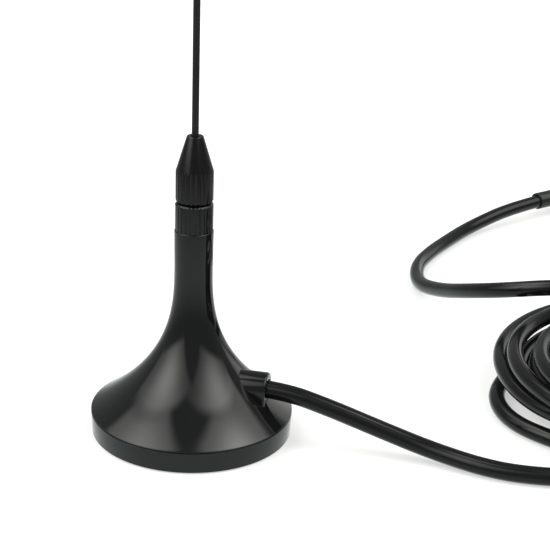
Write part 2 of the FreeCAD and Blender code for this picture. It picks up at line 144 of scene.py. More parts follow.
def noise(tree: Tree, coords: Socket, scale: float, detail: float) -> Socket:
    """Adds a noise pattern.

    Args:
        tree: Node tree of a shader.
        coords: Coordinates to read.
        scale: Patches for each metre.
        detail: Octaves of finer noise.

    Returns:
        The pattern's value, from 0 to 1.
    """
    node = tree.nodes.new("ShaderNodeTexNoise")
    node.inputs["Scale"].default_value = scale
    node.inputs["Detail"].default_value = detail
    tree.links.new(coords, node.inputs["Vector"])
    return node.outputs["Fac"]


class Grain(Enum):
    """Which way the fine marks of a finish run: each value stretches the pattern along X, Y and Z."""

    EVEN = (1.0, 1.0, 1.0)
    LATHE = (12.0, 12.0, 1.0)
    DRAWN = (1.0, 1.0, 14.0)
    BARREL = (1.0, 12.0, 12.0)


@dataclass(frozen=True)
class Finish:
    """A surface finish, made as one procedural material.

    Attributes:
        name: Name of the material.
        colour: Main colour.
        second: Colour that the main one drifts to in patches.
        rough: Lowest and highest roughness.
        metallic: Share of metal.
        specular: Level of the mirror reflection.
        patches: Patches for each metre.
        patch_detail: Octaves of finer noise in the patches.
        marks: Fine marks for each metre.
        mark_detail: Octaves of finer noise in the marks.
        relief: Strength of the fine marks.
        depth: Depth of the fine marks in millimetres.
        grain: Which way the marks run.
        turn: Turn of the pattern about Z in degrees.
    """

    name: str
    colour: Rgb
    second: Rgb
    rough: Span
    metallic: float = 0.0
    specular: float = 0.5
    patches: float = 90.0
    patch_detail: float = 3.0
    marks: float = 3000.0
    mark_detail: float = 5.0
    relief: float = 0.1
    depth: float = 0.01
    grain: Grain = Grain.EVEN
    turn: float = 0.0

    def material(self) -> bpy.types.Material:
        """Makes the material, or returns it if it is there already.

        Returns:
            The material of this finish.
        """
        made = bpy.data.materials.get(self.name)
        if made:
            return made
        made = bpy.data.materials.new(self.name)
        made.diffuse_color = (*self.colour, 1.0)
        made.use_nodes = True
        tree = made.node_tree
        shader = tree.nodes["Principled BSDF"]
        shader.inputs["Metallic"].default_value = self.metallic
        shader.inputs["Specular IOR Level"].default_value = self.specular
        coords = self._coords(tree)
        cloud = noise(tree, coords, self.patches, self.patch_detail)
        marks = noise(tree, coords, self.marks, self.mark_detail)
        tree.links.new(self._drift(tree, cloud), shader.inputs["Base Color"])
        tree.links.new(self._gloss(tree, cloud, marks), shader.inputs["Roughness"])
        tree.links.new(self._relief(tree, marks), shader.inputs["Normal"])
        return made

    def _coords(self, tree: Tree) -> Socket:
        """Adds object coordinates, turned and stretched along the grain.

        Args:
            tree: Node tree of the material.

        Returns:
            The coordinates.
        """
        source = tree.nodes.new("ShaderNodeTexCoord")
        mapping = tree.nodes.new("ShaderNodeMapping")
        mapping.vector_type = "TEXTURE"
        mapping.inputs["Rotation"].default_value = (0.0, 0.0, math.radians(self.turn))
        mapping.inputs["Scale"].default_value = self.grain.value
        tree.links.new(source.outputs["Object"], mapping.inputs["Vector"])
        return mapping.outputs["Vector"]

    def _drift(self, tree: Tree, cloud: Socket) -> Socket:
        """Adds the drift between the two colours.

        Args:
            tree: Node tree of the material.
            cloud: Pattern that the drift follows.

        Returns:
            The colour.
        """
        mix = tree.nodes.new("ShaderNodeMix")
        mix.data_type = "RGBA"
        first, second = (socket for socket in mix.inputs if socket.type == "RGBA")
        first.default_value = (*self.colour, 1.0)
        second.default_value = (*self.second, 1.0)
        tree.links.new(cloud, mix.inputs["Factor"])
        return next(socket for socket in mix.outputs if socket.type == "RGBA")

    def _gloss(self, tree: Tree, cloud: Socket, marks: Socket) -> Socket:
        """Adds the roughness, which follows patches and marks together."""
        return ramp(tree, maths(tree, "MULTIPLY", cloud, marks), WEAR_SPAN, self.rough, soft=False)

    def _relief(self, tree: Tree, marks: Socket) -> Socket:
        """Adds the fine marks as relief.

        Args:
            tree: Node tree of the material.
            marks: Pattern of the marks.

        Returns:
            The normal.
        """
        bump = tree.nodes.new("ShaderNodeBump")
        bump.inputs["Strength"].default_value = self.relief
        bump.inputs["Distance"].default_value = self.depth * MM
        tree.links.new(marks, bump.inputs["Height"])
        return bump.outputs["Normal"]


class Palette(Enum):
    """The finishes of this antenna."""

    MOULDING = Finish(
        "polished_black_moulding", (0.0032, 0.0032, 0.0033), (0.0044, 0.0044, 0.0045), (0.04, 0.075),
        specular=0.29, patches=120.0, marks=1500.0, relief=0.03, depth=0.004,
    )
    PLATING = Finish(
        "black_plated_turning", (0.0018, 0.0017, 0.0016), (0.0026, 0.0025, 0.0023), (0.12, 0.2),
        specular=0.27, marks=9000.0, relief=0.05, depth=0.002, grain=Grain.LATHE,
    )
    WHIP = Finish(
        "black_coated_wire", (0.009, 0.009, 0.009), (0.011, 0.011, 0.011), (0.38, 0.48),
        specular=0.12, marks=5000.0, relief=0.12, depth=0.004, grain=Grain.DRAWN,
    )
    JACKET = Finish(
        "satin_cable_jacket", (0.0036, 0.0036, 0.0038), (0.0052, 0.0052, 0.0055), (0.12, 0.19),
        specular=0.2, patches=160.0, marks=4200.0, relief=0.16, depth=0.008,
    )
    SLEEVE = Finish(
        "black_shrink_sleeve", (0.004, 0.004, 0.004), (0.006, 0.006, 0.006), (0.32, 0.45),
        specular=0.29, marks=3500.0, relief=0.2, depth=0.012,
    )
    PAD = Finish(
        "matt_pad_rubber", (0.005, 0.005, 0.005), (0.009, 0.009, 0.009), (0.7, 0.85),
        specular=0.2, marks=4000.0, relief=0.35, depth=0.03,
    )
    GOLD = Finish(
        "gold_plated_jack", (0.55, 0.37, 0.13), (0.62, 0.44, 0.17), (0.14, 0.26),
        metallic=1.0, marks=9000.0, relief=0.1, depth=0.004, grain=Grain.BARREL, turn=JACK_HEADING,
    )
    INSULATOR = Finish(
        "white_jack_insulator", (0.55, 0.54, 0.52), (0.6, 0.59, 0.57), (0.35, 0.45),
        marks=5000.0, relief=0.06, depth=0.006,
    )
    FERRITE = Finish(
        "grey_magnet_ferrite", (0.05, 0.05, 0.055), (0.08, 0.08, 0.085), (0.6, 0.75),
        marks=2500.0, relief=0.4, depth=0.03,
    )
    STEEL = Finish(
        "pressed_cup_steel", (0.5, 0.5, 0.51), (0.6, 0.6, 0.61), (0.25, 0.4),
        metallic=1.0, marks=5000.0, relief=0.12, depth=0.006,
    )
    COPPER = Finish(
        "bare_copper_core", (0.7, 0.33, 0.19), (0.78, 0.42, 0.26), (0.2, 0.32),
        metallic=1.0, marks=6000.0, relief=0.08, depth=0.004,
    )
    SOLDER = Finish(
        "bright_solder_bead", (0.6, 0.6, 0.62), (0.7, 0.7, 0.72), (0.16, 0.35),
        metallic=1.0, marks=4000.0, relief=0.25, depth=0.02,
    )
    BRAID = Finish(
        "tinned_shield_braid", (0.5, 0.5, 0.5), (0.66, 0.66, 0.66), (0.3, 0.45),
        metallic=1.0, marks=7000.0, relief=0.6, depth=0.05,
    )
    DIELECTRIC = Finish(
        "milky_core_dielectric", (0.78, 0.77, 0.72), (0.84, 0.83, 0.79), (0.4, 0.5),
        marks=4000.0, relief=0.08, depth=0.006,
    )
    CRIMP = Finish(
        "plain_crimp_brass", (0.55, 0.42, 0.2), (0.64, 0.5, 0.26), (0.22, 0.36),
        metallic=1.0, marks=6000.0, relief=0.12, depth=0.006,
    )


INNER_PIECES: dict[str, Palette] = {
    "bottom_pad": Palette.PAD,
    "base_magnet": Palette.FERRITE,
    "pole_cup": Palette.STEEL,
    "feed_wire": Palette.COPPER,
    "feed_solder": Palette.SOLDER,
    "core_conductor": Palette.COPPER,
    "core_dielectric": Palette.DIELECTRIC,
    "shield_braid": Palette.BRAID,
    "shield_solder": Palette.SOLDER,
    "cable_crimp_ring": Palette.CRIMP,
    "crimp_ferrule": Palette.GOLD,
    "tail_braid": Palette.BRAID,
    "tail_dielectric": Palette.DIELECTRIC,
    "tail_conductor": Palette.COPPER,
    "connector_insulator": Palette.INSULATOR,
    "connector_contact": Palette.GOLD,
}


def add_object(name: str, data: bpy.types.ID) -> bpy.types.Object:
    """Links a new object at the origin.

    Args:
        name: Name of the object.
        data: Its mesh or curve.

    Returns:
        The object.
    """
    made = bpy.data.objects.new(name, data)
    bpy.context.scene.collection.objects.link(made)
    return made


def evaluated_mesh(piece: bpy.types.Object, name: str) -> bpy.types.Mesh:
    """Returns an object's mesh with its modifiers applied.

    Args:
        piece: Object to evaluate.
        name: Name of the new mesh.

    Returns:
        A plain mesh.
    """
    bpy.context.view_layer.update()
    graph = bpy.context.evaluated_depsgraph_get()
    mesh = bpy.data.meshes.new_from_object(piece.evaluated_get(graph), depsgraph=graph)
    mesh.name = name
    return mesh


def smooth(mesh: bpy.types.Mesh) -> None:
    """Shades a mesh smooth, with its real edges kept sharp."""
    mesh.shade_smooth()
    mesh.set_sharp_from_angle(angle=SHARP_ANGLE)


def softened(corners: list[Point], steps: int = 5) -> Outline:
    """Rounds the corners of an outline.

    Args:
        corners: Points as (radius, height, rounding), in millimetres.
        steps: Steps in each rounding.

    Returns:
        The outline's points as (radius, height).
    """
    points: Outline = []
    for index, (x, z, rounding) in enumerate(corners):
        here = Vector((x, z))
        if rounding <= 0 or index in (0, len(corners) - 1):
            points.append((x, z))
            continue
        before = Vector(corners[index - 1][:2]) - here
        after = Vector(corners[index + 1][:2]) - here
        half = before.angle(after) / 2
        reach = min(rounding / math.tan(half), CORNER_SHARE * min(before.length, after.length))
        start = here + before.normalized() * reach
        end = here + after.normalized() * reach
        for step in range(steps + 1):
            share = step / steps
            bend = start.lerp(here, share).lerp(here.lerp(end, share), share)
            points.append((bend.x, bend.y))
    return points


def lathe(
    name: str,
    outline: Outline,
    segments: int,
    limit: Optional[Callable[[float, float, float], float]] = None,
) -> bpy.types.Mesh:
    """Turns an outline about Z into a closed mesh.

    Args:
        name: Name of the mesh.
        outline: Points as (radius, height) in millimetres, from axis to axis or as a closed loop.
        segments: Steps round the axis.
        limit: Gives the radius at a point from its radius, height and angle.

    Returns:
        The mesh, in metres.
    """
    mesh = bpy.data.meshes.new(name)
    work = bmesh.new()
    rings = []
    for radius, height in outline:
        if radius <= 0:
            rings.append([work.verts.new((0.0, 0.0, height * MM))] * segments)
            continue
        ring = []
        for index in range(segments):
            angle = 2 * math.pi * index / segments
            reach = limit(radius, height, angle) if limit else radius
            spot = Vector((reach * math.cos(angle), reach * math.sin(angle), height))
            ring.append(work.verts.new(spot * MM))
        rings.append(ring)
    if outline[0][0] > 0:
        rings.append(rings[0])
    for low, high in zip(rings, rings[1:]):
        for index in range(segments):
            following = (index + 1) % segments
            corners = [low[index], low[following], high[following], high[index]]
            # On the axis two corners are one, and the face is a triangle.
            work.faces.new(list(dict.fromkeys(corners)))
    bmesh.ops.recalc_face_normals(work, faces=work.faces)
    work.to_mesh(mesh)
    work.free()
    smooth(mesh)
    return mesh


def finish_piece(piece: bpy.types.Object, finish: Palette, slot: str, *nodes: str) -> bpy.types.Object:
    """Dresses a piece, puts it on its body and lets it stand for its solids.

    Args:
        piece: The finished object.
        finish: Its finish.
        slot: The record's material slot; not used.
        nodes: The solids that it stands for.

    Returns:
        The same object.
    """
    piece.data.materials.clear()
    piece.data.materials.append(finish.value.material())
    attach(piece, BODY)
    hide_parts(*nodes)
    LOG.info("%s stands for %s", piece.name, ", ".join(nodes))
    return piece


@dataclass
class ReliefCutter:
    """Geometry nodes that cut straight flutes or a screw thread into a turned blank.

    Attributes:
        outer: Radius of the uncut wall.
        depth: Depth of a cut.
        share: Width of a cut as a share of its pitch.
        count: Cuts round the wall.
        low: Lowest height that is cut.
        high: Highest height that is cut.
        twist: Turns of the pattern for each millimetre of height.
    """

    outer: float
    depth: float
    share: float
    count: int
    low: float
    high: float
    twist: float = 0.0

    TREE = "cut_round_the_wall"
    ON_AXIS = 1e-6

    @classmethod
    def tree(cls) -> Tree:
        """Builds the node tree once.

        Returns:
            The tree, with its named inputs.
        """
        made = bpy.data.node_groups.get(cls.TREE)
        if made:
            return made
        made = bpy.data.node_groups.new(cls.TREE, "GeometryNodeTree")
        made.interface.new_socket("Geometry", in_out="INPUT", socket_type="NodeSocketGeometry")
        for name in ("Outer", "Depth", "Share", "Count", "Twist", "Low", "High"):
            made.interface.new_socket(name, in_out="INPUT", socket_type="NodeSocketFloat")
        made.interface.new_socket("Finish", in_out="INPUT", socket_type="NodeSocketMaterial")
        made.interface.new_socket("Geometry", in_out="OUTPUT", socket_type="NodeSocketGeometry")
        cls._wire(made)
        return made

    @classmethod
    def _wire(cls, tree: Tree) -> None:
        """Adds and joins the nodes of the tree.

        Args:
            tree: The tree, with its named inputs.
        """
        given = tree.nodes.new("NodeGroupInput")
        result = tree.nodes.new("NodeGroupOutput")

        def sums(operation: str, *values: Operand) -> Socket:
            """Adds a sum to this tree."""
            return maths(tree, operation, *values)

        place = tree.nodes.new("GeometryNodeInputPosition")
        parts = tree.nodes.new("ShaderNodeSeparateXYZ")
        tree.links.new(place.outputs["Position"], parts.inputs["Vector"])
        x, y, z = parts.outputs
        # Where a point is: how far from the axis, and how far through its pitch of the pattern.
        radius = sums("SQRT", sums("ADD", sums("MULTIPLY", x, x), sums("MULTIPLY", y, y)))
        angle = sums("DIVIDE", sums("ARCTAN2", y, x), 2 * math.pi)
        around = sums("MULTIPLY", angle, given.outputs["Count"])
        phase = sums("FRACT", sums("ADD", around, sums("MULTIPLY", z, given.outputs["Twist"])))
        # A cut has straight flanks and is deepest in the middle of its pitch.
        off_centre = sums("ABSOLUTE", sums("SUBTRACT", sums("MULTIPLY", phase, 2.0), 1.0))
        flank = sums("SUBTRACT", 1.0, sums("DIVIDE", off_centre, given.outputs["Share"]))
        cut = sums("MULTIPLY", sums("MAXIMUM", flank, 0.0), given.outputs["Depth"])
        reach = sums("MINIMUM", radius, sums("SUBTRACT", given.outputs["Outer"], cut))
        shrink = sums("DIVIDE", reach, sums("MAXIMUM", radius, cls.ON_AXIS))
        above = sums("GREATER_THAN", z, given.outputs["Low"])
        below = sums("LESS_THAN", z, given.outputs["High"])
        joined = tree.nodes.new("ShaderNodeCombineXYZ")
        tree.links.new(sums("MULTIPLY", x, shrink), joined.inputs["X"])
        tree.links.new(sums("MULTIPLY", y, shrink), joined.inputs["Y"])
        tree.links.new(z, joined.inputs["Z"])
        move = tree.nodes.new("GeometryNodeSetPosition")
        tree.links.new(sums("MULTIPLY", above, below), move.inputs["Selection"])
        tree.links.new(joined.outputs["Vector"], move.inputs["Position"])
        realize = tree.nodes.new("GeometryNodeRealizeInstances")
        dress = tree.nodes.new("GeometryNodeSetMaterial")
        tree.links.new(given.outputs["Finish"], dress.inputs["Material"])
        chain = [given, move, realize, dress, result]
        for one, two in zip(chain, chain[1:]):
            tree.links.new(one.outputs["Geometry"], two.inputs["Geometry"])

    def cut(self, blank: bpy.types.Mesh, finish: Palette) -> bpy.types.Mesh:
        """Cuts the pattern into a blank.

        Args:
            blank: Turned mesh about Z, in metres.
            finish: Finish that the tree sets.

        Returns:
            The cut mesh.
        """
        tree = self.tree()
        values = {
            "Outer": self.outer * MM,
            "Depth": self.depth * MM,
            "Share": self.share,
            "Count": float(self.count),
            "Twist": self.twist / MM,
            "Low": self.low * MM,
            "High": self.high * MM,
            "Finish": finish.value.material(),
        }
        holder = add_object("relief_blank", blank)
        modifier = holder.modifiers.new("relief", "NODES")
        modifier.node_group = tree
        for item in tree.interface.items_tree:
            if item.in_out == "INPUT" and item.name in values:
                modifier[item.identifier] = values[item.name]
        mesh = evaluated_mesh(holder, blank.name + "_cut")
        holder.modifiers.remove(modifier)
        bpy.data.objects.remove(holder)
        bpy.data.meshes.remove(blank)
        smooth(mesh)
        return mesh


@dataclass
class Lap:
    """One pass of the cable round the coil.

    Attributes:
        radius: Distance from the coil's centre.
        height: Height of the cable's middle.
        slide: How far the lap lies towards the back.
        bulge: How far the lap bulges out on its left side.
    """

    radius: float
    height: float
    slide: float = 0.0
    bulge: float = 0.0


@dataclass
class CoaxLead:
    """The coaxial lead: out of the tunnel, round a loose coil and on to the jack.

    Attributes:
        diameter: Diameter of the jacket.
        length: Real length of the lead; not used.
        floor: Height of the lead's middle where it lies on the floor.
        centre: Middle of the coil.
        first_angle: Angle at which the coil starts, in degrees.
        last_angle: Angle past the last whole half turn at which it ends, in degrees.
        stations: Points to a turn.
        spacing: Smallest distance between the middles of two turns.
        bulge_angle: Angle at which laps bulge, in degrees.
        bulge_width: Angle that a bulge takes up to each side, in degrees.
        settle_rounds: Rounds in which turns push each other apart.
        settle_pace: Share of a push that one round gives.
        line_steps: Steps between two points of the spline.
        jacket_steps: Steps in the roundness of the jacket.
        start: Points from the stripped end in the base to the coil.
        laps: The lap at each half turn, from the right side at the start.
        tail: Points from the coil to the jack.
    """

    diameter: float = 2.65
    length: float = 1500.0
    floor: float = 1.33
    centre: tuple[float, float] = (77.0, 13.0)
    first_angle: float = -100.0
    last_angle: float = 58.0
    stations: int = 24
    spacing: float = 2.68
    bulge_angle: float = 194.5
    bulge_width: float = 34.0
    settle_rounds: int = 60
    settle_pace: float = 0.5
    line_steps: int = 8
    jacket_steps: int = 6
    start: list[Point] = field(default_factory=lambda: [
        (5.86, -1.27, 8.0),
        (13.29, -2.87, 8.0),
        (20.6, -4.8, 6.2),
        (28.0, -6.6, 3.9),
        (35.5, -8.9, 1.9),
        (43.6, -13.1, 1.33),
        (51.0, -14.7, 1.33),
        (56.4, -14.3, 1.33),
        (60.6, -14.1, 1.33),
    ])
    laps: list[Lap] = field(default_factory=lambda: [
        Lap(27.6, 1.33),
        Lap(27.8, 1.33),
        Lap(24.6, 1.33, bulge=6.25),
        Lap(25.0, 1.33),
        Lap(19.9, 1.33),
        Lap(22.2, 1.33),
        Lap(22.4, 3.2),
        Lap(23.7, 3.65),
        Lap(25.7, 4.2),
        Lap(31.0, 5.4),
        Lap(28.55, 5.0, slide=2.4, bulge=0.3),
        Lap(27.0, 5.95),
        Lap(27.35, 7.55, slide=-2.0),
        Lap(25.0, 6.0),
        Lap(23.9, 6.2, slide=-4.0),
        Lap(24.0, 8.35),
        Lap(22.9, 10.1, slide=-9.0),
        Lap(26.2, 9.4),
        Lap(24.0, 12.6),
    ])
    tail: list[Point] = field(default_factory=lambda: [
        (83.0, 34.4, 12.3),
        (74.5, 31.6, 12.9),
        (66.1, 28.1, 13.6),
        (57.6, 27.6, 13.7),
        (50.2, 30.9, 11.6),
        (45.2, 38.3, 8.3),
        (41.5, 48.1, 4.3),
        (38.3, 58.0, 1.5),
        (38.7, 67.6, 1.33),
        (41.9, 75.4, 1.33),
        (46.2, 82.9, 1.33),
        (51.2, 90.5, 1.6),
        (61.7, 100.33, 3.18),
        (73.2, 109.0, 3.18),
    ])

    def _lap_at(self, angle: float) -> tuple[float, float]:
        """Works out where the cable is in the coil's section at an angle.

        Args:
            angle: Angle counted on over all turns, in degrees.

        Returns:
            Distance from the coil's centre, and height.
        """
        last = len(self.laps) - 2
        step = min(max(int(angle // HALF_TURN) + 1, 0), last)
        share = min(max(angle / HALF_TURN - (step - 1), 0.0), 1.0)
        ease = share * share * (3 - 2 * share)
        one, two = self.laps[step], self.laps[step + 1]
        slide = one.slide + (two.slide - one.slide) * ease
        bulge = one.bulge + (two.bulge - one.bulge) * ease
        lean = (angle % (2 * HALF_TURN) - self.bulge_angle) / self.bulge_width
        radius = one.radius + (two.radius - one.radius) * ease
        radius += slide * math.sin(math.radians(angle)) + bulge * math.exp(-lean * lean)
        return radius, one.height + (two.height - one.height) * ease

    def _settled(self, rows: list[Vector]) -> list[Vector]:
        """Pushes turns that lie in each other apart, station by station.

        Args:
            rows: Radius and height of the cable at each point.

        Returns:
            The same points, a cable's thickness apart.
        """
        for _ in range(self.settle_rounds):
            push = [Vector((0.0, 0.0)) for _ in rows]
            for one in range(len(rows)):
                for two in range(one + self.stations, len(rows), self.stations):
                    gap = rows[two] - rows[one]
                    if 0 < gap.length < self.spacing:
                        move = gap.normalized() * (self.spacing - gap.length) / 2
                        push[one] -= move
                        push[two] += move
            for index in range(1, len(rows) - 1):
                share = (push[index - 1] + push[index] * 2 + push[index + 1]) / 4
                rows[index] += share * self.settle_pace
                rows[index].y = max(rows[index].y, self.floor)
        return rows

    def coil(self) -> list[Point]:
        """Works out the points of the coil's turns.

        Returns:
            The points in order, in millimetres.
        """
        step = 2 * HALF_TURN / self.stations
        end = HALF_TURN * (len(self.laps) - 3) + self.last_angle
        count = int((end - self.first_angle) // step) + 1
        angles = [self.first_angle + step * index for index in range(count)]
        rows = self._settled([Vector(self._lap_at(angle)) for angle in angles])
        points = []
        for angle, row in zip(angles, rows):
            turn = math.radians(angle)
            x = self.centre[0] + row.x * math.cos(turn)
            y = self.centre[1] + row.x * math.sin(turn)
            points.append((x, y, row.y))
        return points

    def build(self) -> bpy.types.Object:
        """Makes the lead as one smooth spline.

        Returns:
            The lead's curve.
        """
        points = self.start + self.coil() + self.tail
        curve = bpy.data.curves.new("coax_lead", "CURVE")
        curve.dimensions = "3D"
        curve.bevel_depth = self.diameter / 2 * MM
        curve.bevel_resolution = self.jacket_steps
        curve.use_fill_caps = True
        spline = curve.splines.new("NURBS")
        spline.points.add(len(points) - 1)
        for target, place in zip(spline.points, points):
            target.co = (place[0] * MM, place[1] * MM, place[2] * MM, 1.0)
        spline.order_u = 3
        spline.use_endpoint_u = True
        spline.resolution_u = self.line_steps
        spline.use_smooth = True
        lead = add_object("coax_lead", curve)
        return finish_piece(lead, Palette.JACKET, "cable_jacket", "cable_lead", "cable_coil", "cable_tail")


@dataclass
class MouldedBase:
    """The trumpet-shaped moulding with its cable tunnel.

    Attributes:
        radius: Radius at the rim's crease.
        draft: How much narrower the rim is at its foot.
        foot: Height of the rim's lower edge.
        foot_round: Rounding of that edge.
        crease: Height of the crease between rim and flare.
        crease_round: Rounding of the crease.
        lip: Height of the flare's edge above the shadow line on the rim.
        line_height: Height of that line.
        line_depth: Depth of that line.
        line_round: Rounding of its lower edge.
        flare_top: Height where the flare has become the neck.
        power: Power of the flare's curve.
        neck: Radius of the neck's lower end.
        neck_top: Radius of the neck's upper end.
        top: Height of the neck's upper face.
        top_round: Rounding of that face's edge.
        bore: Radius of the bore through the neck.
        wall: Thickness of the flare's wall.
        pad_seat: Radius of the pad's seat.
        pad_height: Height of the pad's upper face.
        cup_seat: Radius of the pole cup's seat.
        cup_height: Height of the cup's upper face.
        tunnel_turn: Heading of the tunnel over the floor, in degrees.
        tunnel_start: Distance from the axis at which the tunnel starts.
        tunnel_reach: Distance of its mouth from the axis.
        tunnel_height: Height of its middle.
        tunnel_half: Half of its width.
        tunnel_round: Rounding of its mouth.
        cable_bore: Radius of its bore for the cable.
        ring_bore: Radius of its bore for the crimp ring.
        ring_seat: Distance of the crimp ring's seat from the axis.
        overcut: How far a cutting tool reaches past what it cuts.
        rows: Rows in the flare.
        hollow_rows: Rows in the hollow below it.
        round_steps: Steps in a rounding.
        tunnel_steps: Steps in the tunnel's roof.
        segments: Steps round the axis.
        hollow_segments: Steps round the hollow.
        bore_segments: Steps round the tunnel's bore.
    """

    radius: float = 15.0
    draft: float = 0.1
    foot: float = 0.2
    foot_round: float = 0.12
    crease: float = 3.55
    crease_round: float = 0.3
    lip: float = 0.07
    line_height: float = 0.2
    line_depth: float = 0.15
    line_round: float = 0.04
    flare_top: float = 26.0
    power: float = 2.75
    neck: float = 2.8
    neck_top: float = 2.85
    top: float = 31.6
    top_round: float = 0.14
    bore: float = 1.55
    wall: float = 2.8
    pad_seat: float = 14.3
    pad_height: float = 0.8
    cup_seat: float = 12.9
    cup_height: float = 3.7
    tunnel_turn: float = -12.2
    tunnel_start: float = 1.0
    tunnel_reach: float = 11.6
    tunnel_height: float = 8.0
    tunnel_half: float = 2.35
    tunnel_round: float = 0.3
    cable_bore: float = 1.405
    ring_bore: float = 1.83
    ring_seat: float = 8.6
    overcut: float = 1.0
    rows: int = 96
    hollow_rows: int = 40
    round_steps: int = 6
    tunnel_steps: int = 24
    segments: int = 288
    hollow_segments: int = 144
    bore_segments: int = 64

    def flare(self, height: float) -> float:
        """Radius of the flare at a height."""
        share = max((self.flare_top - height) / (self.flare_top - self.crease), 0.0)
        return self.neck + (self.radius - self.neck) * share ** self.power

    def _outside(self) -> Outline:
        """Outlines rim, flare and neck.

        Returns:
            The outline, from axis to axis.
        """
        low = self.crease + self.crease_round / 2
        under = self.crease - self.lip
        groove = self.radius - self.line_depth
        outline = softened([
            (0.0, self.foot, 0.0),
            (self.radius - self.draft, self.foot, self.foot_round),
            (self.radius, under - self.line_height, self.line_round),
            (groove, under - self.line_height, 0.0),
            (groove, under, 0.0),
            (self.radius, under, 0.0),
            (self.radius, self.crease, self.crease_round),
            (self.flare(low), low, 0.0),
        ], self.round_steps)
        for index in range(1, self.rows):
            height = low + (self.flare_top - low) * index / self.rows
            outline.append((self.flare(height), height))
        return outline + softened([
            (self.neck, self.flare_top, 0.0),
            (self.neck_top, self.top, self.top_round),
            (0.0, self.top, 0.0),
        ])

    def _inside(self) -> Outline:
        """Outlines the hollow below and the bore through the neck.

        Returns:
            The outline, from axis to axis.
        """
        outline = [
            (0.0, self.foot - self.overcut),
            (self.pad_seat, self.foot - self.overcut),
            (self.pad_seat, self.pad_height),
            (self.cup_seat, self.pad_height),
            (self.cup_seat, self.cup_height),
            (self.flare(self.cup_height) - self.wall, self.cup_height),
        ]
        height = self.cup_height
        rise = (self.flare_top - self.cup_height) / self.hollow_rows
        while self.flare(height + rise) - self.wall > self.bore:
            height += rise
            outline.append((self.flare(height) - self.wall, height))
        end = self.top + self.overcut
        return outline + [(self.bore, height + rise), (self.bore, end), (0.0, end)]

    def _tunnel(self) -> bpy.types.Mesh:
        """Makes the tunnel's outside: flat sides under a half-round roof, rounded at the mouth.

        Returns:
            The mesh, turned to the tunnel's heading.
        """
        section = [(-self.tunnel_half, self.crease)]
        for index in range(self.tunnel_steps + 1):
            angle = math.pi * (1 - index / self.tunnel_steps)
            up = self.tunnel_height + self.tunnel_half * math.sin(angle)
            section.append((self.tunnel_half * math.cos(angle), up))
        section.append((self.tunnel_half, self.crease))
        stations = [(self.tunnel_start, 0.0), (self.tunnel_reach - self.tunnel_round, 0.0)]
        for index in range(1, self.round_steps + 1):
            angle = math.pi / 2 * index / self.round_steps
            back = self.tunnel_round * (1 - math.sin(angle))
            stations.append((self.tunnel_reach - back, self.tunnel_round * (1 - math.cos(angle))))
        work = bmesh.new()
        rings = []
        for distance, inset in stations:
            ring = []
            for across, up in section:
                # The mouth's edge is drawn in square to the wall.
                shift = Vector((across, max(up - self.tunnel_height, 0.0))).normalized() * inset
                spot = Vector((distance, across - shift.x, up - shift.y))
                ring.append(work.verts.new(spot * MM))
            rings.append(ring)
        for near, far in zip(rings, rings[1:]):
            for index in range(len(section)):
                following = (index + 1) % len(section)
                work.faces.new([near[index], near[following], far[following], far[index]])
        work.faces.new(rings[0])
        work.faces.new(rings[-1])
        bmesh.ops.recalc_face_normals(work, faces=work.faces)
        mesh = bpy.data.meshes.new("tunnel_outside")
        work.to_mesh(mesh)
        work.free()
        mesh.transform(Matrix.Rotation(math.radians(self.tunnel_turn), 4, "Z"))
        return mesh

    def _cable_way(self) -> bpy.types.Mesh:
        """Makes the stepped bore for the cable and its crimp ring.

        Returns:
            The mesh of what is bored out.
        """
        end = self.tunnel_reach + self.overcut
        mesh = lathe("cable_way", [
            (0.0, self.tunnel_start),
            (self.ring_bore, self.tunnel_start),
            (self.ring_bore, self.ring_seat),
            (self.cable_bore, self.ring_seat),
            (self.cable_bore, end),
            (0.0, end),
        ], self.bore_segments)
        lie = Matrix.Rotation(math.radians(RIGHT_ANGLE), 4, "Y")
        turn = Matrix.Rotation(math.radians(self.tunnel_turn), 4, "Z")
        mesh.transform(Matrix.Translation((0, 0, self.tunnel_height * MM)) @ turn @ lie)
        return mesh

    def build(self) -> None:
        """Makes the moulding and dresses it."""
        shell = add_object("flared_housing", lathe("flared_housing", self._outside(), self.segments))
        steps = [
            ("UNION", self._tunnel()),
            ("DIFFERENCE", lathe("hollow", self._inside(), self.hollow_segments)),
            ("DIFFERENCE", self._cable_way()),
        ]
        for operation, mesh in steps:
            tool = add_object("moulding_tool", mesh)
            modifier = shell.modifiers.new("mould", "BOOLEAN")
            modifier.operation = operation
            modifier.solver = "EXACT"
            modifier.object = tool
            made = evaluated_mesh(shell, "flared_housing")
            shell.modifiers.remove(modifier)
            shell.data = made
            bpy.data.objects.remove(tool)
        smooth(shell.data)
        finish_piece(shell, Palette.MOULDING, "housing_gloss", "base_housing")


@dataclass(frozen=True)
class Knurl:
    """The straight flutes that collar and nut have alike.

    Attributes:
        flutes: Flutes round the wall.
        depth: Depth of a flute.
        share: Width of a flute as a share of its pitch.
        steps: Steps round the axis for each flute.
        margin: How far the flutes reach past a face that they run into.
    """

    flutes: int = 24
    depth: float = 0.11
    share: float = 0.5
    steps: int = 16
    margin: float = 0.05

    def turned(self, name: str, outline: Outline, outer: float, span: Span) -> bpy.types.Object:
        """Turns a piece and cuts the flutes into its wall.

        Args:
            name: Name of the piece.
            outline: Outline of the blank, from axis to axis.
            outer: Radius of the uncut wall.
            span: Heights between which the flutes are cut.

        Returns:
            The piece, not dressed yet.
        """
        blank = lathe(name, outline, self.flutes * self.steps)
        cutter = ReliefCutter(outer, self.depth, self.share, self.flutes, *span)
        return add_object(name, cutter.cut(blank, Palette.PLATING))


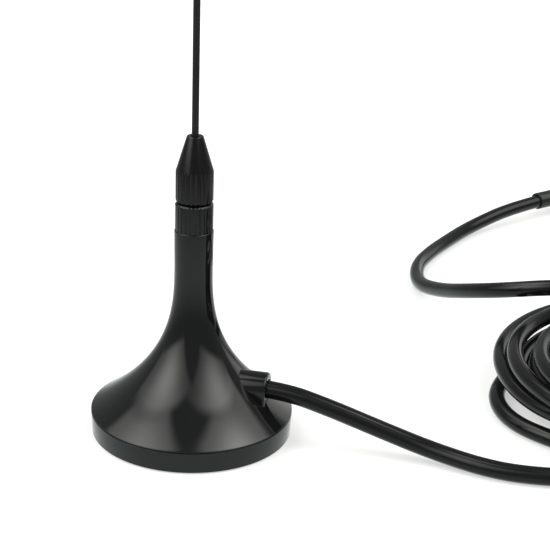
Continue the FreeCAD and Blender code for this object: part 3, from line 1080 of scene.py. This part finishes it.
@dataclass
class KnurledCollar:
    """The turned insert, whose knurled collar stands on the neck.

    Attributes:
        low: Height of the collar's lower face, on the neck.
        radius: Radius over the knurl.
        high: Height of its upper face.
        low_round: Rounding of its lower edge.
        edge: Width and height of the chamfer at its upper edge.
        edge_round: Roundings of that chamfer.
        round_steps: Steps in a rounding.
        shank: Radius of the shank in the neck.
        shank_foot: Height of the shank's lower end.
        cup: Radius of the solder cup in that end.
        cup_top: Height of the cup's floor.
        stud_hole: Radius of the hole for the nut's stud.
        stud_floor: Height of that hole's floor.
        knurl: Its flutes.
    """

    low: float
    radius: float = 2.75
    high: float = 35.7
    low_round: float = 0.06
    edge: float = 0.2
    edge_round: float = 0.05
    round_steps: int = 4
    shank: float = 1.53
    shank_foot: float = 24.0
    cup: float = 0.52
    cup_top: float = 26.0
    stud_hole: float = 1.27
    stud_floor: float = 31.9
    knurl: Knurl = Knurl()

    def _outline(self) -> Outline:
        """Outlines the insert before its flutes are cut.

        Returns:
            The outline, from axis to axis.
        """
        collar = softened([
            (self.shank, self.low, 0.0),
            (self.radius, self.low, self.low_round),
            (self.radius, self.high - self.edge, self.edge_round),
            (self.radius - self.edge, self.high, self.edge_round),
            (self.stud_hole, self.high, 0.0),
        ], self.round_steps)
        return [
            (0.0, self.cup_top),
            (self.cup, self.cup_top),
            (self.cup, self.shank_foot),
            (self.shank, self.shank_foot),
            *collar,
            (self.stud_hole, self.stud_floor),
            (0.0, self.stud_floor),
        ]

    def build(self) -> None:
        """Makes the collar and dresses it."""
        span = (self.low - self.knurl.margin, self.high + self.knurl.margin)
        collar = self.knurl.turned("knurled_collar", self._outline(), self.radius, span)
        finish_piece(collar, Palette.PLATING, "black_plating", "threaded_insert")


@dataclass
class ConeNut:
    """The knurled cone nut that carries the whip.

    Attributes:
        foot: Height of the seat on the collar.
        foot_radius: Radius of that seat.
        radius: Radius over the knurl.
        grip_low: Height where the knurl starts above the foot's chamfer.
        grip_high: Height where the cone starts.
        tip: Height of the cone's tip.
        tip_radius: Radius of the tip.
        tip_round: Rounding of the tip's edge.
        cup_radius: Radius of the small cup in the tip.
        cup_round: Rounding of the cup's edge.
        cup_depth: Depth of the cup.
        whip_bore: Radius of the bore for the whip.
        whip_floor: Height of that bore's floor.
        stud: Radius of the stud.
        stud_foot: Height of the stud's lower end.
        knurl: Its flutes.
        plain_tip: Height of the tip that no flute reaches.
        runout: Height over which the flutes run out on the cone, in heights that they need.
        runout_rows: Rows of that stretch, and of the foot's chamfer.
    """

    foot: float
    foot_radius: float = 2.35
    radius: float = 2.72
    grip_low: float = 36.2
    grip_high: float = 40.45
    tip: float = 45.55
    tip_radius: float = 1.17
    tip_round: float = 0.16
    cup_radius: float = 0.8
    cup_round: float = 0.05
    cup_depth: float = 0.5
    whip_bore: float = 0.515
    whip_floor: float = 38.55
    stud: float = 1.25
    stud_foot: float = 32.2
    knurl: Knurl = Knurl()
    plain_tip: float = 1.0
    runout: float = 1.15
    runout_rows: int = 14

    def _slope(self, start: Span, end: Span) -> Outline:
        """Divides a slope into rows for the flutes to run out in, without its first point."""
        shares = [index / self.runout_rows for index in range(1, self.runout_rows + 1)]
        return [tuple(Vector(start).lerp(Vector(end), share)) for share in shares]

    def _outline(self) -> Outline:
        """Outlines the nut before its flutes are cut.

        Returns:
            The outline, from axis to axis.
        """
        slope = (self.radius - self.tip_radius) / (self.tip - self.grip_high)
        rise = self.knurl.depth / slope * self.runout
        cone = (self.radius - slope * rise, self.grip_high + rise)
        tip = softened([
            (*cone, 0.0),
            (self.tip_radius, self.tip, self.tip_round),
            (self.cup_radius, self.tip, self.cup_round),
            (self.whip_bore, self.tip - self.cup_depth, 0.0),
        ])
        return [
            (0.0, self.stud_foot),
            (self.stud, self.stud_foot),
            (self.stud, self.foot),
            (self.foot_radius, self.foot),
            *self._slope((self.foot_radius, self.foot), (self.radius, self.grip_low)),
            (self.radius, self.grip_high),
            *self._slope((self.radius, self.grip_high), cone),
            *tip[1:],
            (self.whip_bore, self.whip_floor),
            (0.0, self.whip_floor),
        ]

    def build(self) -> None:
        """Makes the nut and dresses it."""
        span = (self.foot - self.knurl.margin, self.tip - self.plain_tip)
        nut = self.knurl.turned("cone_nut", self._outline(), self.radius, span)
        finish_piece(nut, Palette.PLATING, "black_plating", "whip_ferrule")


@dataclass
class WhipWire:
    """The plain wire whip with its domed tip.

    Attributes:
        radius: Radius of the wire.
        segments: Steps round the wire.
        dome_steps: Steps in the dome.
    """

    radius: float = 0.5
    segments: int = 48
    dome_steps: int = 10

    def build(self) -> None:
        """Makes the whip between the ends that its solid has."""
        low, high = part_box("whip_rod")
        foot, top = low.z / MM, high.z / MM
        outline = [(0.0, foot), (self.radius, foot)]
        for index in range(self.dome_steps):
            angle = math.pi / 2 * index / self.dome_steps
            height = top - self.radius * (1 - math.sin(angle))
            outline.append((self.radius * math.cos(angle), height))
        outline.append((0.0, top))
        whip = add_object("whip_wire", lathe("whip_wire", outline, self.segments))
        finish_piece(whip, Palette.WHIP, "whip_black", "whip_rod")


@dataclass
class ThreadedJack:
    """The coaxial jack on the lead's far end, with its crimp and shrink sleeve.

    Distances are along its axis from the end of the jacket.

    Attributes:
        cable: Radius of the cable.
        thread: Radius over the thread.
        middle: Distance of the thread's middle.
        pitch: Pitch of the thread.
        thread_depth: Depth of the thread.
        thread_share: Width of the thread's groove as a share of its pitch.
        thread_start: Distance where the thread starts.
        face: Distance of the jack's face.
        edge: Chamfer at both ends of the thread.
        relief: Radius of the relief behind the thread.
        hex_start: Distance of the hexagon's back.
        hex_end: Distance of the hexagon's front.
        hex_flats: Width of the hexagon across its flats.
        hex_chamfer: Length of the chamfers on its corners.
        hex_slope: How far a chamfer goes in for each millimetre of its length.
        shoulder: Radius of the shoulder behind the hexagon.
        shoulder_round: Rounding of that shoulder.
        shoulder_start: Distance where the shoulder starts.
        stem: Radius of the stem in the crimp.
        stem_round: Rounding of the stem's end.
        core_bore: Radius of the bore for the cable's core.
        insulator_bore: Radius of the bore for the insulator.
        insulator_start: Distance of the insulator's back.
        insulator_face: Distance of the insulator's face.
        socket: Radius of the open end before the insulator.
        crimp: Radius over the crimp.
        sleeve_wall: Wall of the shrink sleeve.
        sleeve_back: How far the sleeve reaches back over the jacket.
        sleeve_front: How far it reaches forward over the crimp.
        sleeve_step: Distances between which the sleeve widens over the crimp.
        sleeve_sweep: Rounding where it widens.
        back_round: Rounding of the sleeve's back edge.
        front_round: Rounding of its front edge.
        cut_margin: Small distance that tells a face from what is behind it.
        chamfer_rows: Rows in a chamfer of the hexagon.
        turn_rows: Rows in a turn of the thread.
        sleeve_steps: Steps in a rounding of the sleeve.
        segments: Steps round the jack.
        sleeve_segments: Steps round the sleeve.
    """

    cable: float
    thread: float = 3.175
    middle: float = 14.825
    pitch: float = 0.7055
    thread_depth: float = 0.38
    thread_share: float = 0.8
    thread_start: float = 11.0
    face: float = 19.0
    edge: float = 0.35
    relief: float = 2.7
    hex_start: float = 8.0
    hex_end: float = 10.0
    hex_flats: float = 6.2
    hex_chamfer: float = 0.28
    hex_slope: float = 1.6
    shoulder: float = 2.6
    shoulder_round: float = 0.15
    shoulder_start: float = 6.5
    stem: float = 1.0
    stem_round: float = 0.05
    core_bore: float = 0.77
    insulator_bore: float = 2.07
    insulator_start: float = 9.2
    insulator_face: float = 17.1
    socket: float = 2.3
    crimp: float = 1.95
    sleeve_wall: float = 0.4
    sleeve_back: float = 7.9
    sleeve_front: float = 5.9
    sleeve_step: Span = (-1.4, 0.2)
    sleeve_sweep: float = 2.2
    back_round: float = 0.34
    front_round: float = 0.22
    cut_margin: float = 0.01
    chamfer_rows: int = 8
    turn_rows: int = 12
    sleeve_steps: int = 8
    segments: int = 120
    sleeve_segments: int = 64

    def _place(self) -> Matrix:
        """Works out where a piece lies that is made along Z.

        Returns:
            Matrix that lays it on the jack's axis, from the end of the jacket.
        """
        mount = next(row for row in frame["record"]["mounts"] if row["name"] == "jack_thread")
        axis = Vector(mount["axis"]).normalized()
        up = Vector((0.0, 0.0, 1.0))
        turn = Matrix((up.cross(axis), up, axis)).transposed().to_4x4()
        return Matrix.Translation(Vector(mount["pos_m"]) - axis * self.middle * MM) @ turn

    def _hexagon(self, radius: float, height: float, angle: float) -> float:
        """Holds the wall back to a hexagon between its two faces.

        Args:
            radius: Radius of the turned wall.
            height: Distance of the point.
            angle: Angle of the point about the axis.

        Returns:
            The radius that is left.
        """
        room = min(height - self.hex_start, self.hex_end - height)
        if room <= -self.cut_margin or radius < self.shoulder:
            return radius
        sixth = math.pi / 3
        lean = angle % sixth - sixth / 2
        return min(radius, self.hex_flats / 2 / math.cos(lean))

    def _outline(self) -> Outline:
        """Outlines the body before its thread is cut.

        Returns:
            The outline as a closed loop.
        """
        corner = self.hex_flats / math.sqrt(3)
        outline = softened([
            (self.core_bore, 0.0, 0.0),
            (self.stem, 0.0, self.stem_round),
            (self.stem, self.shoulder_start, 0.0),
            (self.shoulder, self.shoulder_start, self.shoulder_round),
            (self.shoulder, self.hex_start, 0.0),
        ])
        chamfer = [self.hex_chamfer * index / self.chamfer_rows for index in range(self.chamfer_rows + 1)]
        inset = [corner - rise * self.hex_slope for rise in chamfer]
        outline += [(wide, self.hex_start + rise) for wide, rise in zip(reversed(inset), chamfer)]
        outline += [(wide, self.hex_end - rise) for wide, rise in zip(inset, reversed(chamfer))]
        outline += [(self.relief, self.hex_end), (self.relief, self.thread_start)]
        length = self.face - self.thread_start
        steps = int(length / self.pitch) * self.turn_rows
        for index in range(steps + 1):
            rise = length * index / steps
            cut_back = max(self.edge - min(rise, length - rise), 0.0)
            outline.append((self.thread - cut_back, self.thread_start + rise))
        return outline + [
            (self.socket, self.face),
            (self.socket, self.insulator_face),
            (self.insulator_bore, self.insulator_face),
            (self.insulator_bore, self.insulator_start),
            (self.core_bore, self.insulator_start),
        ]

    def _body(self) -> bpy.types.Object:
        """Makes the jack's body with its hexagon and thread.

        Returns:
            The body's object.
        """
        blank = lathe("threaded_jack", self._outline(), self.segments, self._hexagon)
        cutter = ReliefCutter(
            outer=self.thread,
            depth=self.thread_depth,
            share=self.thread_share,
            count=1,
            low=self.thread_start + self.cut_margin,
            high=self.face - self.cut_margin,
            twist=1 / self.pitch,
        )
        mesh = cutter.cut(blank, Palette.GOLD)
        mesh.transform(self._place())
        body = add_object("threaded_jack", mesh)
        return finish_piece(body, Palette.GOLD, "jack_gold", "connector_body")

    def _sleeve(self) -> bpy.types.Object:
        """Makes the shrink sleeve over the jacket's end and the crimp.

        Returns:
            The sleeve's object.
        """
        thin = self.cable + self.sleeve_wall
        thick = self.crimp + self.sleeve_wall
        outline = softened([
            (self.cable, -self.sleeve_back, 0.0),
            (thin, -self.sleeve_back, self.back_round),
            (thin, self.sleeve_step[0], self.sleeve_sweep),
            (thick, self.sleeve_step[1], self.sleeve_sweep),
            (thick, self.sleeve_front, self.front_round),
            (self.crimp, self.sleeve_front, 0.0),
            (self.crimp, 0.0, 0.0),
            (self.cable, 0.0, 0.0),
        ], self.sleeve_steps)
        mesh = lathe("shrink_sleeve", outline, self.sleeve_segments)
        mesh.transform(self._place())
        sleeve = add_object("shrink_sleeve", mesh)
        return finish_piece(sleeve, Palette.SLEEVE, "shrink_sleeve", "heat_shrink_sleeve")

    def build(self) -> list[bpy.types.Object]:
        """Makes the pieces on the lead's end.

        Returns:
            The jack's body, the sleeve and the solids that stay in view.
        """
        kept = (
            "crimp_ferrule", "tail_braid", "tail_dielectric", "tail_conductor",
            "connector_insulator", "connector_contact",
        )
        return [self._body(), self._sleeve(), *(frame["nodes"][name] for name in kept)]


@dataclass
class PhotoCamera:
    """The camera at the photograph's angle, for a square frame.

    Attributes:
        place: Where it stands, in millimetres.
        pitch: How far it looks down, in degrees.
        roll: How far it leans, in degrees.
        focal: Focal length in pixels of the frame.
        frame_side: Side of the frame in pixels.
        sensor: Width of the sensor, in millimetres.
        clip: Nearest and farthest distance that is seen, in metres.
    """

    place: Point = (11.81, -209.31, 106.51)
    pitch: float = 21.28
    roll: float = 1.88
    focal: float = 1550.0
    frame_side: float = 550.0
    sensor: float = 36.0
    clip: Span = (0.005, 20.0)

    def build(self) -> None:
        """Makes the camera and gives it to the scene."""
        data = bpy.data.cameras.new("photo_camera")
        data.sensor_width = self.sensor
        data.lens = self.sensor * self.focal / self.frame_side
        data.clip_start, data.clip_end = self.clip
        camera = add_object("photo_camera", data)
        look = Matrix.Rotation(math.radians(RIGHT_ANGLE - self.pitch), 4, "X")
        lean = Matrix.Rotation(math.radians(self.roll), 4, "Z")
        camera.matrix_world = Matrix.Translation(Vector(self.place) * MM) @ look @ lean
        bpy.context.scene.camera = camera


def way(bearing: Bearing) -> Vector:
    """Turns a bearing on the sky into a direction.

    Args:
        bearing: Degrees to the right of the camera's side, and degrees above the floor.

    Returns:
        The direction, of length one.
    """
    turn, rise = (math.radians(angle) for angle in bearing)
    return Vector((math.sin(turn) * math.cos(rise), -math.cos(turn) * math.cos(rise), math.sin(rise)))


@dataclass(frozen=True)
class SoftBox:
    """One flat soft box of the studio, seen as four corners on the sky, with its bulb behind the cloth.

    Attributes:
        corners: Bearings of its corners, in order.
        plain: Brightness all over the cloth.
        hot: Brightness that the bulb adds.
        bulb: Bearing of the bulb.
        spread: Degrees at which the bulb's glow has faded to a third.
        edge: How softly the box ends, as a sine.
    """

    corners: tuple[Bearing, Bearing, Bearing, Bearing]
    plain: float
    hot: float
    bulb: Bearing
    spread: float
    edge: float = 0.068

    def _sides(self) -> list[Vector]:
        """Works out the planes through the room's middle and each edge.

        Returns:
            Their normals, which point into the box.
        """
        ways = [way(corner) for corner in self.corners]
        middle = sum(ways, Vector())
        normals = [one.cross(two).normalized() for one, two in zip(ways, ways[1:] + ways[:1])]
        return [normal if normal.dot(middle) > 0 else -normal for normal in normals]

    def glow(self, tree: Tree, coords: Socket) -> Socket:
        """Adds this box to the room's nodes.

        Args:
            tree: Node tree of the room.
            coords: Direction that is looked in.

        Returns:
            The brightness in that direction.
        """
        near = maths(tree, "MINIMUM", along(tree, coords, way(self.bulb)), 1.0)
        apart = maths(tree, "DIVIDE", maths(tree, "ARCCOSINE", near), math.radians(self.spread))
        fade = maths(tree, "EXPONENT", maths(tree, "MULTIPLY", maths(tree, "POWER", apart, 2.0), -1.0))
        light = maths(tree, "ADD", maths(tree, "MULTIPLY", fade, self.hot), self.plain)
        for normal in self._sides():
            inside = ramp(tree, along(tree, coords, normal), (-self.edge, self.edge), (0.0, 1.0))
            light = maths(tree, "MULTIPLY", light, inside)
        return light


@dataclass
class Studio:
    """Pale floor in a dim room with soft boxes at both sides of the camera.

    Attributes:
        floor_side: Side of the floor in metres.
        floor_tone: Tone of the floor.
        floor_rough: Roughness of the floor.
        floor_specular: Level of its mirror reflection.
        floor_glow: Brightness of the floor's own light, as of a table that is lit from below.
        room: Brightness of the room.
        underside: Brightness that a gloss mirrors below the horizon, where the pale floor is.
        horizon: Rises between which that brightness fades to the room's, as sines.
        room_tint: Colour of the room.
        box_tint: Colour of the boxes.
        boxes: The soft boxes.
    """

    floor_side: float = 8.0
    floor_tone: float = 0.38
    floor_rough: float = 0.8
    floor_specular: float = 0.1
    floor_glow: float = 0.5
    room: float = 0.35
    underside: float = 1.12
    horizon: Span = (-0.45, 0.02)
    room_tint: Rgb = (0.97, 1.0, 1.01)
    box_tint: Rgb = (0.98, 1.0, 0.95)
    boxes: list[SoftBox] = field(default_factory=lambda: [
        # Left and right of the camera.
        SoftBox(
            ((-107, 10), (-32, 12), (2, 52), (-117, 26)),
            plain=0.53, hot=6.2, bulb=(-66, 40), spread=24,
        ),
        SoftBox(
            ((32, 19), (105, 17), (103, 31), (-14, 58)),
            plain=0.34, hot=6.15, bulb=(71, 48), spread=24,
        ),
        # High up at the left and at the right.
        SoftBox(
            ((-111, 36), (-52, 61), (-65, 87), (-156, 34)),
            plain=1.6, hot=4.6, bulb=(-108, 64), spread=15,
        ),
        SoftBox(
            ((53, 65), (103, 25), (127, 45), (26, 83)),
            plain=2.2, hot=7.7, bulb=(113, 66), spread=12,
        ),
        # Low at the back right, lit evenly.
        SoftBox(
            ((122, 2), (165, 2), (165, 24), (130, 24)),
            plain=1.0, hot=0.0, bulb=(145, 12), spread=20,
        ),
    ])

    def _floor(self) -> None:
        """Makes the pale floor, which mirror reflections pass by: they see the room's lower half."""
        half = self.floor_side / 2
        mesh = bpy.data.meshes.new("studio_floor")
        corners = [(-half, -half, 0.0), (half, -half, 0.0), (half, half, 0.0), (-half, half, 0.0)]
        mesh.from_pydata(corners, [], [(0, 1, 2, 3)])
        mesh.materials.append(self._pale())
        floor = add_object("studio_floor", mesh)
        floor.visible_glossy = False

    def _pale(self) -> bpy.types.Material:
        """Makes the floor's material.

        Returns:
            The material.
        """
        pale = bpy.data.materials.new("pale_studio_floor")
        pale.use_nodes = True
        shader = pale.node_tree.nodes["Principled BSDF"]
        shader.inputs["Base Color"].default_value = (*[self.floor_tone] * 3, 1.0)
        shader.inputs["Roughness"].default_value = self.floor_rough
        shader.inputs["Specular IOR Level"].default_value = self.floor_specular
        shader.inputs["Emission Color"].default_value = (1.0, 1.0, 1.0, 1.0)
        shader.inputs["Emission Strength"].default_value = self.floor_glow
        return pale

    def _room(self) -> bpy.types.World:
        """Makes the room with its lights.

        Returns:
            The world.
        """
        world = bpy.data.worlds.new("studio_room")
        world.use_nodes = True
        tree = world.node_tree
        back = tree.nodes["Background"]
        coords = tree.nodes.new("ShaderNodeTexCoord").outputs["Generated"]
        rise = along(tree, coords, Vector((0.0, 0.0, 1.0)))
        dim = ramp(tree, rise, self.horizon, (self.underside, self.room))
        lit = self.boxes[0].glow(tree, coords)
        for box in self.boxes[1:]:
            lit = maths(tree, "ADD", lit, box.glow(tree, coords))
        both = tree.nodes.new("ShaderNodeVectorMath")
        both.operation = "ADD"
        for index, (tint, value) in enumerate(((self.room_tint, dim), (self.box_tint, lit))):
            tinted = tree.nodes.new("ShaderNodeVectorMath")
            tinted.operation = "SCALE"
            tinted.inputs[0].default_value = tint
            tree.links.new(value, tinted.inputs["Scale"])
            tree.links.new(tinted.outputs["Vector"], both.inputs[index])
        tree.links.new(both.outputs["Vector"], back.inputs["Color"])
        return world

    def build(self) -> None:
        """Makes floor and room."""
        self._floor()
        bpy.context.scene.world = self._room()
        bpy.context.scene.view_settings.view_transform = "Standard"


def dress_inner_pieces() -> None:
    """Gives each solid that stays as it is its own finish."""
    for name, finish in INNER_PIECES.items():
        node = frame["nodes"][name]
        node.data.materials.clear()
        node.data.materials.append(finish.value.material())
        LOG.info("%s dressed as %s", name, finish.value.name)


def main() -> None:
    """Builds the studio, the lead and every piece of the antenna."""
    logging.basicConfig(level=logging.INFO)
    base = MouldedBase()
    collar = KnurledCollar(low=base.top)
    coax = CoaxLead()
    PhotoCamera().build()
    lead = coax.build()
    on_it = ThreadedJack(cable=coax.diameter / 2).build()
    base.build()
    collar.build()
    ConeNut(foot=collar.high).build()
    WhipWire().build()
    dress_inner_pieces()
    Studio().build()


if __name__ == "__main__":
    main()
